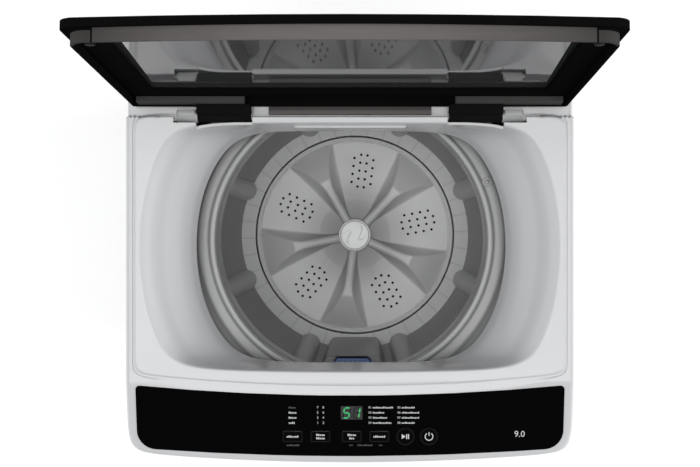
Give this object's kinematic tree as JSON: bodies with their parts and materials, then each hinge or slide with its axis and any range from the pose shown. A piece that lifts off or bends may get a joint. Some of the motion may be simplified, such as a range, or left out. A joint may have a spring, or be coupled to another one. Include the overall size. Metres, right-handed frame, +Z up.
{
  "type": "top load washing machine",
  "caption": "Upright cabinet washing machine loaded from above, with a hinged glass lid, bowl-shaped opening, steel basket, pulsator and sloping control panel.",
  "frame": {"origin": "on the floor below the middle of the cabinet, on the tub's axis", "axes": "+Z up, front and control panel towards -Y, +X to the right of someone facing the panel's back"},
  "size_m": [0.54, 0.54, 1.2044],
  "materials": {
    "white_plastic": "white moulded plastic, polished",
    "white_paint": "white powder coat on sheet steel",
    "galvanised_steel": "bare galvanised sheet",
    "black_gloss": "black high gloss",
    "lid_black": "black gloss lid frame",
    "warm_grey": "dark warm grey plastic",
    "dark_glass": "smoked tempered glass",
    "basket_steel": "drawn stainless sheet",
    "grey_plastic": "light grey moulded plastic",
    "pulsator_grey": "silver grey moulded plastic",
    "dark_grey_plastic": "dark grey plastic",
    "filter_blue": "blue filter plastic and mesh",
    "tub_plastic": "natural polypropylene",
    "base_plastic": "grey plastic base",
    "rubber": "black rubber",
    "cast_aluminium": "die cast",
    "shaft_steel": "ground steel",
    "zinc_steel": "zinc plated",
    "key_black": "black key tops",
    "board_green": "printed circuit board",
    "valve_white": "valve body plastic"
  },
  "bodies": {
    "cabinet": {"base_frame": "base_plastic", "cabinet_shell": "white_paint", "cold_inlet_valve": "valve_white", "control_board": "board_green", "control_case": "dark_grey_plastic", "control_fascia": "black_gloss", "corner_brackets": "galvanised_steel", "detergent_housing": "white_plastic", "display_lens": "dark_glass", "drain_outlet": "dark_grey_plastic", "foot_lock_nuts": "zinc_steel", "hinge_brackets": "grey_plastic", "hinge_pins": "shaft_steel", "hot_inlet_valve": "valve_white", "lid_switch": "dark_grey_plastic", "rear_housing": "white_plastic", "rear_panel": "galvanised_steel", "rear_screws": "zinc_steel", "rear_trim": "warm_grey", "suspension_rods": "zinc_steel", "top_cover": "white_plastic"},
    "lid": {"lid_frame": "lid_black", "lid_glass": "dark_glass", "lid_inner_frame": "lid_black", "lid_hinges": "warm_grey", "lid_bumpers": "rubber"},
    "drawer": {"detergent_drawer": "white_plastic"},
    "tub": {"outer_tub": "tub_plastic", "tub_cover": "grey_plastic", "tub_seal": "rubber", "suspension_cups": "tub_plastic", "suspension_springs": "zinc_steel", "drive_plate": "galvanised_steel", "gearbox": "cast_aluminium", "drive_motor": "cast_aluminium", "drive_belt": "rubber", "drain_valve": "valve_white", "drain_motor": "dark_grey_plastic"},
    "basket": {"basket_wall": "basket_steel", "basket_base": "grey_plastic", "balance_ring": "grey_plastic", "basket_hub": "cast_aluminium", "lint_housing": "dark_grey_plastic"},
    "filter": {"lint_filter": "filter_blue"},
    "agitator": {"pulsator": "pulsator_grey", "pulsator_cap": "pulsator_grey", "wash_shaft": "shaft_steel", "drive_pulley": "cast_aluminium"},
    "rotor": {"motor_rotor": "shaft_steel"},
    "front_left_foot": {"foot_front_left": "rubber"},
    "front_right_foot": {"foot_front_right": "rubber"},
    "rear_left_foot": {"foot_rear_left": "rubber"},
    "rear_right_foot": {"foot_rear_right": "rubber"},
    "process_key": {"process_button": "key_black"},
    "level_key": {"level_button": "key_black"},
    "delay_key": {"delay_button": "key_black"},
    "program_key": {"program_button": "key_black"},
    "start_key": {"start_button": "key_black"},
    "power_key": {"power_button": "key_black"}
  },
  "joints": [
    {"name": "lid_hinge", "type": "hinge", "parent": "cabinet", "child": "lid", "pos_m": [0, 0.151, 0.8754], "axis": [1, 0, 0], "range_deg": [0, 95.7]},
    {"name": "drawer_slide", "type": "slide", "parent": "cabinet", "child": "drawer", "axis": [0, -1, 0], "range_m": [0, 0.075]},
    {"name": "tub_bounce", "type": "slide", "parent": "cabinet", "child": "tub", "axis": [0, 0, 1], "range_m": [-0.012, 0.008], "stiffness_N_per_m": 16000, "springref_m": 0.0155, "deforming": ["suspension_springs"]},
    {"name": "basket_spin", "type": "hinge", "parent": "tub", "child": "basket", "pos_m": [0, 0, 0.36], "axis": [0, 0, 1], "continuous": true},
    {"name": "filter_lift", "type": "slide", "parent": "basket", "child": "filter", "axis": [0, 0, 1], "range_m": [0, 0.05]},
    {"name": "agitator_spin", "type": "hinge", "parent": "basket", "child": "agitator", "pos_m": [0, 0, 0.3], "axis": [0, 0, 1], "continuous": true},
    {"name": "motor_spin", "type": "hinge", "parent": "tub", "child": "rotor", "pos_m": [0, 0.15, 0.25], "axis": [0, 0, 1], "continuous": true},
    {"name": "process_press", "type": "slide", "parent": "cabinet", "child": "process_key", "axis": [0, 0.165, -0.9863], "range_m": [0, 0.001], "stiffness_N_per_m": 500, "springref_m": -0.0008},
    {"name": "level_press", "type": "slide", "parent": "cabinet", "child": "level_key", "axis": [0, 0.165, -0.9863], "range_m": [0, 0.001], "stiffness_N_per_m": 500, "springref_m": -0.0008},
    {"name": "delay_press", "type": "slide", "parent": "cabinet", "child": "delay_key", "axis": [0, 0.165, -0.9863], "range_m": [0, 0.001], "stiffness_N_per_m": 500, "springref_m": -0.0008},
    {"name": "program_press", "type": "slide", "parent": "cabinet", "child": "program_key", "axis": [0, 0.165, -0.9863], "range_m": [0, 0.001], "stiffness_N_per_m": 500, "springref_m": -0.0008},
    {"name": "start_press", "type": "slide", "parent": "cabinet", "child": "start_key", "axis": [0, 0.165, -0.9863], "range_m": [0, 0.001], "stiffness_N_per_m": 500, "springref_m": -0.0008},
    {"name": "power_press", "type": "slide", "parent": "cabinet", "child": "power_key", "axis": [0, 0.165, -0.9863], "range_m": [0, 0.001], "stiffness_N_per_m": 500, "springref_m": -0.0008},
    {"name": "front_left_foot_turn", "type": "hinge", "parent": "cabinet", "child": "front_left_foot", "pos_m": [-0.2327, -0.2197, 0.02], "axis": [0, 0, 1], "range_deg": [-720, 720]},
    {"name": "front_right_foot_turn", "type": "hinge", "parent": "cabinet", "child": "front_right_foot", "pos_m": [0.2327, -0.2197, 0.02], "axis": [0, 0, 1], "range_deg": [-720, 720]},
    {"name": "rear_left_foot_turn", "type": "hinge", "parent": "cabinet", "child": "rear_left_foot", "pos_m": [-0.2327, 0.2207, 0.02], "axis": [0, 0, 1], "range_deg": [-720, 720]},
    {"name": "rear_right_foot_turn", "type": "hinge", "parent": "cabinet", "child": "rear_right_foot", "pos_m": [0.2327, 0.2207, 0.02], "axis": [0, 0, 1], "range_deg": [-720, 720]}
  ],
  "couplings": [
    {"joint": "motor_spin", "follows": "agitator_spin", "ratio": 3}
  ]
}
